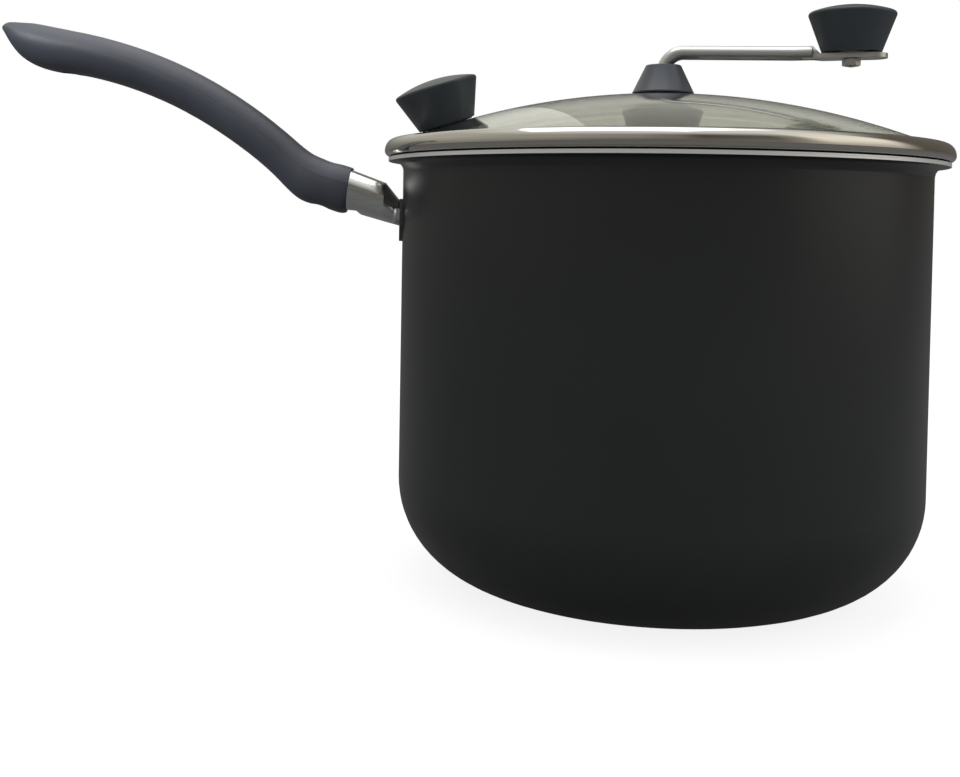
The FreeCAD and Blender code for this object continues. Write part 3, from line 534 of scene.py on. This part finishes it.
def makeHubCone():
    # A closed profile: up the bore, out over the mouth, down the cone, in under its base and down
    # the spigot. The spigot's radius falls by the thread's depth times a triangle wave of height
    # over pitch less angle over one turn.
    low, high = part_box("hub_cone")
    _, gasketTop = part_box("hub_gasket_upper")
    base, top, foot = gasketTop.z, high.z, low.z
    rim, bore, mouth = hubLook["rimRound"], hubLook["boreRadius"], hubLook["mouthRadius"]
    mouthFloor = top - hubLook["mouthDepth"]
    step, edge = base + hubLook["baseStep"], hubLook["baseEdge"]
    spigot = hubLook["spigotRadius"]
    threadTop = base - hubLook["threadFromBase"]
    thread = np.linspace(threadTop, foot + hubLook["threadFromFoot"], hubLook["threadRows"])
    profile = np.vstack([
        [(bore, foot), (bore, mouthFloor), (mouth, mouthFloor)],
        [(mouth, top - rim / 2), (mouth + rim / 2, top)],
        ellipseQuarter((hubLook["topRadius"] - rim, top - rim), (rim, rim), 90, 20, 6),
        [(high.x - edge, step), (high.x, step - edge), (high.x, base), (spigot, base)],
        np.stack([np.full(len(thread), spigot), thread], axis=-1),
        [(spigot - hubLook["footChamfer"], foot)],
    ])
    pitch, depth = hubLook["threadPitch"], hubLook["threadDepth"]

    def threaded(angle, radius, height):
        wave = np.abs(2 * ((height / pitch - angle / (2 * np.pi)) % 1.0) - 1)
        cut = np.isclose(radius, spigot) & (height < (base + threadTop) / 2)
        return np.where(cut, radius - depth * wave, radius)

    places, faces = latheGrid(profile, hubLook["segments"], threaded)
    return makePiece("hubCone", places, faces, hubPlastic, "lid", "hub_cone")


collarLook = {
    "topRadius": 0.0189,
    "footRadius": 0.0160,
    "height": 0.0105,
    "wall": 0.0016,
    "round": 0.0005,
    "innerRound": 0.0004,
    "boreRadius": 0.00603,
    "segments": 96,
}


def makeHubCollar():
    # The washer under the glass with a conical skirt that hides the nut: one sheet of even wall,
    # flat inside the skirt and straight down it.
    low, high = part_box("hub_washer")
    top, seat = high.z, low.z
    wide, narrow = collarLook["topRadius"], collarLook["footRadius"]
    foot = top - collarLook["height"]
    wall, edge = collarLook["wall"], collarLook["round"]
    profile = np.vstack([
        [(collarLook["boreRadius"], top)],
        ellipseQuarter((wide - edge, top - edge), (edge, edge), 90, 0, 6),
        [(narrow, foot + edge / 2), (narrow - edge / 2, foot), (narrow - wall + edge / 2, foot),
         (narrow - wall, foot + edge / 2)],
        [(wide - wall - collarLook["innerRound"], seat), (collarLook["boreRadius"], seat)],
    ])
    places, faces = latheGrid(profile, collarLook["segments"])
    return makePiece("hubCollar", places, faces, hubPlastic, "lid", "hub_washer")


domeLook = {
    "rise": 0.026,
    "thickness": 0.004,
    "edgeRound": 0.0012,
    "holeRadius": 0.0064,
    "studHole": 0.0024,
    "knobOffset": 0.101,
    "knobTurn": 190.0,
    "rings": 56,
    "segments": 288,
    "sharp": 60.0,
    "drillLength": 0.03,
    "drillSegments": 48,
}
_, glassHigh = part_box("lid_glass")
domeRadius = glassHigh.x
domeSphere = (domeRadius ** 2 + domeLook["rise"] ** 2) / (2 * domeLook["rise"])
domeMiddle = glassHigh.z - math.sqrt(domeSphere ** 2 - domeLook["holeRadius"] ** 2)


def onDome():
    # Stands on the dome at the side knob's place, with Z along the dome's normal there.
    offset = domeLook["knobOffset"]
    tilt = math.asin(offset / domeSphere)
    height = domeMiddle + math.sqrt(domeSphere ** 2 - offset ** 2)
    turn = Matrix.Rotation(math.radians(domeLook["knobTurn"]), 4, "Z")
    return turn @ Matrix.Translation((offset, 0, height)) @ Matrix.Rotation(tilt, 4, "Y")


def roundCorner(before, corner, after, steps=7):
    # A quadratic curve between two points, drawn towards the corner.
    t = np.linspace(0, 1, steps)[:, None]
    return (1 - t) ** 2 * np.array(before) + 2 * t * (1 - t) * np.array(corner) + t ** 2 * np.array(after)


def makeLidGlass():
    # Two arcs round one centre, a glass thickness apart, with a rounded rim. Height is the centre
    # plus the root of the arc's radius squared less the distance squared.
    edge = domeLook["edgeRound"]
    spread = np.linspace(domeLook["holeRadius"], domeRadius - edge, domeLook["rings"])

    def heightOf(sphere, distance):
        return domeMiddle + np.sqrt(sphere ** 2 - distance ** 2)

    inner = domeSphere - domeLook["thickness"]
    over = np.stack([spread, heightOf(domeSphere, spread)], axis=-1)
    under = np.stack([spread, heightOf(inner, spread)], axis=-1)
    topCorner = (domeRadius, heightOf(domeSphere, domeRadius))
    lowCorner = (domeRadius, heightOf(inner, domeRadius))
    topRound = roundCorner(over[-1], topCorner, (domeRadius, topCorner[1] - edge))
    lowRound = roundCorner((domeRadius, lowCorner[1] + edge), lowCorner, under[-1])
    profile = np.vstack([over, topRound[1:], lowRound[:-1], under[::-1]])
    places, faces = latheGrid(profile, domeLook["segments"])
    return makePiece("lidGlass", places, faces, domeGlass, "lid", "lid_glass", domeLook["sharp"])


def drillStudHole(glass):
    # The side knob's stud passes through a hole, cut by a drill that is removed again.
    drillMesh = bpy.data.meshes.new("drill")
    shape = bmesh.new()
    radius = domeLook["studHole"]
    bmesh.ops.create_cone(shape, cap_ends=True, segments=domeLook["drillSegments"], radius1=radius,
                          radius2=radius, depth=domeLook["drillLength"], matrix=onDome())
    shape.to_mesh(drillMesh)
    shape.free()
    drill = bpy.data.objects.new("drill", drillMesh)
    bpy.context.scene.collection.objects.link(drill)
    cut = glass.modifiers.new("studHole", "BOOLEAN")
    cut.object = drill
    bpy.context.view_layer.update()
    drilled = bpy.data.meshes.new_from_object(glass.evaluated_get(bpy.context.evaluated_depsgraph_get()))
    glass.modifiers.clear()
    glass.data = drilled
    bpy.data.objects.remove(drill)


screwLook = {
    "headRadius": 0.004,
    "headHeight": 0.0028,
    "edge": (0.0014, 0.0012),
    "shank": 0.002,
    "tipRound": 0.0004,
    "faceRings": 25,
    "sharp": 30.0,
    "slotHalf": 0.00042,
    "slotReach": 0.0021,
    "slotDepth": 0.0013,
    "segments": 96,
    "sideSeat": -0.00517,
    "sideTip": 0.01158,
    "handleLength": 0.00815,
    "handleSlope": 8.0,
}


def makeCrossScrew(name, node, stand, seat, tip, body):
    # A pan head below its seat and a shank up to the tip. The head's face is pushed in by the
    # slot's depth where either level coordinate is within the slot's half width, less towards
    # the slot's end.
    head, edge = screwLook["headRadius"], screwLook["edge"]
    low = seat - screwLook["headHeight"]
    shank, tipRound = screwLook["shank"], screwLook["tipRound"]
    face = np.linspace(0, head - edge[0], screwLook["faceRings"], endpoint=False)
    profile = np.vstack([
        np.stack([face, np.full(len(face), low)], axis=-1),
        ellipseQuarter((head - edge[0], low + edge[1]), edge, -90, 0, 8),
        [(head, seat), (shank, seat), (shank, tip - tipRound), (shank - tipRound, tip), (0.0, tip)],
    ])
    places, faces = latheGrid(profile, screwLook["segments"])
    across = np.minimum(np.abs(places[:, 0]), np.abs(places[:, 1]))
    along = np.maximum(np.abs(places[:, 0]), np.abs(places[:, 1]))
    taper = np.sqrt(np.clip(1.0 - along / screwLook["slotReach"], 0, 1))
    pressed = (across < screwLook["slotHalf"]) & (places[:, 2] < low + doubleReach)
    places[:, 2] += np.where(pressed, screwLook["slotDepth"] * taper, 0.0)
    stood = places @ np.array(stand.to_3x3()).T + np.array(stand.translation)
    return makePiece(name, stood, faces, fastenerMetal, body, node, screwLook["sharp"])


def makeScrews():
    # The side knob's screw is seated under its washer, and the handle's in the grip's pocket.
    seat, tip = screwLook["sideSeat"], screwLook["sideTip"]
    makeCrossScrew("sideKnobScrew", "side_knob_screw", onDome(), seat, tip, "lid")
    _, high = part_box("handle_screw")
    slope, length = math.radians(screwLook["handleSlope"]), screwLook["handleLength"]
    seatX = high.x - screwLook["headRadius"] * math.cos(slope)
    seatZ = high.z - screwLook["shank"] * math.sin(slope) - length * math.cos(slope)
    stand = Matrix.Translation((seatX, 0, seatZ)) @ Matrix.Rotation(slope, 4, "Y")
    makeCrossScrew("handleScrew", "handle_screw", stand, 0.0, length, "pot")


makeLidBand()
makeHubCone()
makeHubCollar()
drillStudHole(makeLidGlass())
makeScrews()
print("stage: band, hub, collar, glass and screws turned")

# Floor, light and camera
stageLook = {
    "floorSize": 60.0,
    "floor": (0.24, 0.24, 0.24, 1),
    "floorInMirror": (0.14, 0.14, 0.14, 1),
    "floorGlow": 0.86,
    "worldWhite": 1.0,
    "fill": 0.75,
    "mirrorGlow": 0.03,
    # What mirrors see of the studio all round, from the back by the left to the front and on by
    # the right: near the horizon, and well above it
    "horizon": [(0.00, (0.12, 0.12, 0.11)), (0.12, (0.22, 0.21, 0.19)), (0.25, (0.32, 0.30, 0.27)),
                (0.50, (0.18, 0.16, 0.14)), (0.60, (0.22, 0.20, 0.18)), (0.68, (0.62, 0.58, 0.50)),
                (0.75, (0.62, 0.58, 0.50)), (0.81, (0.13, 0.11, 0.09)), (1.00, (0.12, 0.12, 0.11))],
    "upper": [(0.00, (0.80, 0.80, 0.72)), (0.16, (0.56, 0.55, 0.48)), (0.34, (0.42, 0.41, 0.36)),
              (0.44, (0.34, 0.33, 0.30)), (0.49, (0.24, 0.23, 0.21)), (0.525, (0.11, 0.10, 0.08)),
              (0.60, (0.14, 0.13, 0.11)), (0.63, (0.32, 0.30, 0.26)), (0.67, (1.20, 1.13, 0.97)),
              (0.755, (1.25, 1.18, 1.02)), (0.795, (0.15, 0.13, 0.11)), (0.93, (0.16, 0.15, 0.13))],
    "overhead": (0.95, 0.95, 0.93, 1),
    "upperSpan": (0.05, 0.50),  # the direction's height over which the horizon gives way to the upper ring
    "overheadSpan": (0.60, 0.95),
}


def makeFloor():
    half = stageLook["floorSize"] / 2
    corners = np.array([(-half, -half, 0), (half, -half, 0), (half, half, 0), (-half, half, 0)])
    mesh = bpy.data.meshes.new("floor")
    mesh.from_pydata(corners.tolist(), [], [(0, 1, 2, 3)])
    floor = bpy.data.objects.new("floor", mesh)
    bpy.context.scene.collection.objects.link(floor)
    material, tree, shader = newMaterial("floorPaper")
    setShader(shader, Roughness=0.9)
    shader.inputs["Specular IOR Level"].default_value = 0.0
    # Where the eye or glass looks at it, the paper glows up to white, and keeps its shadow.
    path = tree.nodes.new("ShaderNodeLightPath")
    paper = mixColour(tree, path.outputs["Is Glossy Ray"], stageLook["floor"], stageLook["floorInMirror"])
    tree.links.new(paper, shader.inputs["Base Color"])
    seen = calc(tree, "MAXIMUM", path.outputs["Is Camera Ray"], path.outputs["Is Transmission Ray"])
    shader.inputs["Emission Color"].default_value = (1, 1, 1, 1)
    glow = calc(tree, "MULTIPLY", seen, stageLook["floorGlow"])
    mirrored = calc(tree, "MULTIPLY", path.outputs["Is Glossy Ray"], stageLook["mirrorGlow"])
    tree.links.new(calc(tree, "ADD", glow, mirrored), shader.inputs["Emission Strength"])
    mesh.materials.append(material)


def colourRamp(tree, value, stops):
    ramp = tree.nodes.new("ShaderNodeValToRGB")
    ramp.color_ramp.interpolation = "EASE"
    elements = ramp.color_ramp.elements
    while len(elements) < len(stops):
        elements.new(0.5)
    for element, (place, colour) in zip(elements, stops):
        element.position = place
        element.color = (*colour, 1)
    tree.links.new(value, ramp.inputs[0])
    return ramp.outputs[0]


def makeWorld():
    # Plain white for the eye and through glass, soft fill for matt surfaces, and for mirrors a
    # studio that is dim in front, with a pale stretch at the front right, and pale behind and above.
    world = bpy.data.worlds.new("studio")
    bpy.context.scene.world = world
    world.use_nodes = True
    tree = world.node_tree
    output = tree.nodes["World Output"]
    fill = tree.nodes["Background"]
    fill.inputs["Color"].default_value = (1, 1, 1, 1)
    fill.inputs["Strength"].default_value = stageLook["fill"]
    white = addNode(tree, "ShaderNodeBackground", Color=(1, 1, 1, 1), Strength=stageLook["worldWhite"])
    direction = tree.nodes.new("ShaderNodeTexCoord").outputs["Generated"]
    split = addNode(tree, "ShaderNodeSeparateXYZ", Vector=direction)
    # The way round is the angle of the direction's level part, from 0 to 1 with the front at 0.5.
    around = calc(tree, "ARCTAN2", split.outputs[0], calc(tree, "MULTIPLY", split.outputs[1], -1.0))
    around = remap(tree, around, -math.pi, math.pi)
    horizon = colourRamp(tree, around, stageLook["horizon"])
    upper = colourRamp(tree, around, stageLook["upper"])
    rise = remap(tree, split.outputs[2], *stageLook["upperSpan"], smooth=True)
    room = mixColour(tree, rise, horizon, upper)
    rise = remap(tree, split.outputs[2], *stageLook["overheadSpan"], smooth=True)
    room = mixColour(tree, rise, room, stageLook["overhead"])
    mirror = addNode(tree, "ShaderNodeBackground", Color=room, Strength=1.0)
    path = tree.nodes.new("ShaderNodeLightPath")
    seen = calc(tree, "MAXIMUM", path.outputs["Is Camera Ray"], path.outputs["Is Transmission Ray"])
    inMirror = tree.nodes.new("ShaderNodeMixShader")
    tree.links.new(path.outputs["Is Glossy Ray"], inMirror.inputs[0])
    tree.links.new(fill.outputs[0], inMirror.inputs[1])
    tree.links.new(mirror.outputs[0], inMirror.inputs[2])
    mix = tree.nodes.new("ShaderNodeMixShader")
    tree.links.new(seen, mix.inputs[0])
    tree.links.new(inMirror.outputs[0], mix.inputs[1])
    tree.links.new(white.outputs[0], mix.inputs[2])
    tree.links.new(mix.outputs[0], output.inputs["Surface"])


lampLook = {
    "topLamp": {"place": (-0.2, 0.1, 1.8), "target": (0, 0, 0.15), "size": (1.4, 1.4), "power": 9.0},
    "sideLamp": {"place": (1.5, -0.35, 0.75), "target": (0, 0, 0.15), "size": (0.30, 1.1), "power": 3.0,
                 "matt": True},
    "tipLamp": {"place": (-0.44, -0.24, 0.42), "target": (-0.28, 0, 0.24), "size": (0.22, 0.22), "power": 1.6,
                "only": ["handle_grip"]},
}


def addLamp(name):
    # A soft square of light. A matt lamp doesn't show in mirrors, and one with "only" is shaded
    # so that it falls on those pieces alone.
    look = lampLook[name]
    lamp = bpy.data.lights.new(name, "AREA")
    lamp.shape = "RECTANGLE"
    lamp.size, lamp.size_y = look["size"]
    lamp.energy = look["power"]
    item = bpy.data.objects.new(name, lamp)
    item.location = look["place"]
    item.rotation_euler = (Vector(look["target"]) - Vector(look["place"])).to_track_quat("-Z", "Y").to_euler()
    item.visible_glossy = not look.get("matt", False)
    bpy.context.scene.collection.objects.link(item)
    if "only" in look:
        receivers = bpy.data.collections.new(name + "Receivers")
        for node in look["only"]:
            receivers.objects.link(nodes[node])
        item.light_linking.receiver_collection = receivers


cameraLook = {
    "place": (-0.0820, -0.5833, 0.1672),
    "yaw": -0.18,
    "pitch": -1.72,
    "roll": 0.99,
    "lens": 46.84,
    "sensor": 36.0,
    "shiftY": -0.1443,
    "nearest": 0.01,
}


def makeCamera():
    # The right, up and back axes of the lens come from its yaw, pitch and roll.
    yaw, pitch, roll = (math.radians(cameraLook[key]) for key in ("yaw", "pitch", "roll"))
    forward = Vector((math.sin(yaw) * math.cos(pitch), math.cos(yaw) * math.cos(pitch), math.sin(pitch)))
    right = Vector((math.cos(yaw), -math.sin(yaw), 0))
    up = right.cross(forward)
    turnedRight = right * math.cos(roll) + up * math.sin(roll)
    turnedUp = up * math.cos(roll) - right * math.sin(roll)
    data = bpy.data.cameras.new("camera")
    data.sensor_width = cameraLook["sensor"]
    data.sensor_fit = "HORIZONTAL"
    data.lens = cameraLook["lens"]
    data.shift_y = cameraLook["shiftY"]
    data.clip_start = cameraLook["nearest"]
    camera = bpy.data.objects.new("camera", data)
    axes = Matrix((turnedRight, turnedUp, -forward)).transposed().to_4x4()
    camera.matrix_world = Matrix.Translation(cameraLook["place"]) @ axes
    bpy.context.scene.collection.objects.link(camera)
    bpy.context.scene.camera = camera


makeFloor()
makeWorld()
for lampName in lampLook:
    addLamp(lampName)
makeCamera()
bpy.context.scene.view_settings.view_transform = "Standard"
print("stage: floor, light and camera set")
